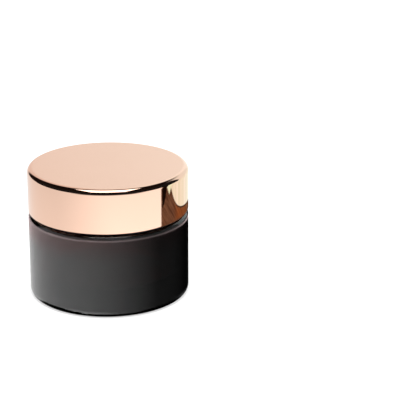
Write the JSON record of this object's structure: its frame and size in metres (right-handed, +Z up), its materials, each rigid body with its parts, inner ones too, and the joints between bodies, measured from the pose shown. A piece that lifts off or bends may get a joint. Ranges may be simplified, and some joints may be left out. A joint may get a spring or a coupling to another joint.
{
  "type": "cosmetic cream jar",
  "caption": "Round thick-walled glass jar with a screw neck, a plug-in sealing disc and a flat-topped metal-shelled screw lid with a liner cap and gasket.",
  "frame": {"origin": "centre of the underside, on the jar's axis", "axes": "+Z up along the jar's axis, out of the mouth; +X along the sealing disc's pull tab"},
  "size_m": [0.06, 0.06, 0.0493],
  "materials": {
    "amber_glass": "glossy, very dark amber",
    "disc_plastic": "satin white",
    "gasket_foam": "fine-celled foam",
    "cap_plastic": "satin white",
    "rose_gold_metal": "rose-gold, satin top and polished side"
  },
  "bodies": {
    "jar": {"glass_jar": "amber_glass"},
    "disc": {"sealing_disc": "disc_plastic"},
    "gasket": {"lid_gasket": "gasket_foam"},
    "lid": {"inner_cap": "cap_plastic", "lid_shell": "rose_gold_metal"}
  },
  "joints": [
    {"name": "disc_lift", "type": "slide", "parent": "jar", "child": "disc", "axis": [0, 0, 1], "range_m": [0, 0.024]},
    {"name": "lid_lift", "type": "slide", "parent": "disc", "child": "gasket", "axis": [0, 0, 1], "range_m": [0, 0.032]},
    {"name": "lid_turn", "type": "hinge", "parent": "gasket", "child": "lid", "pos_m": [0, 0, 0.0325], "axis": [0, 0, 1], "range_deg": [0, 2880]}
  ],
  "couplings": [
    {"joint": "lid_lift", "follows": "lid_turn", "m_per_rad": 0.00063662}
  ]
}
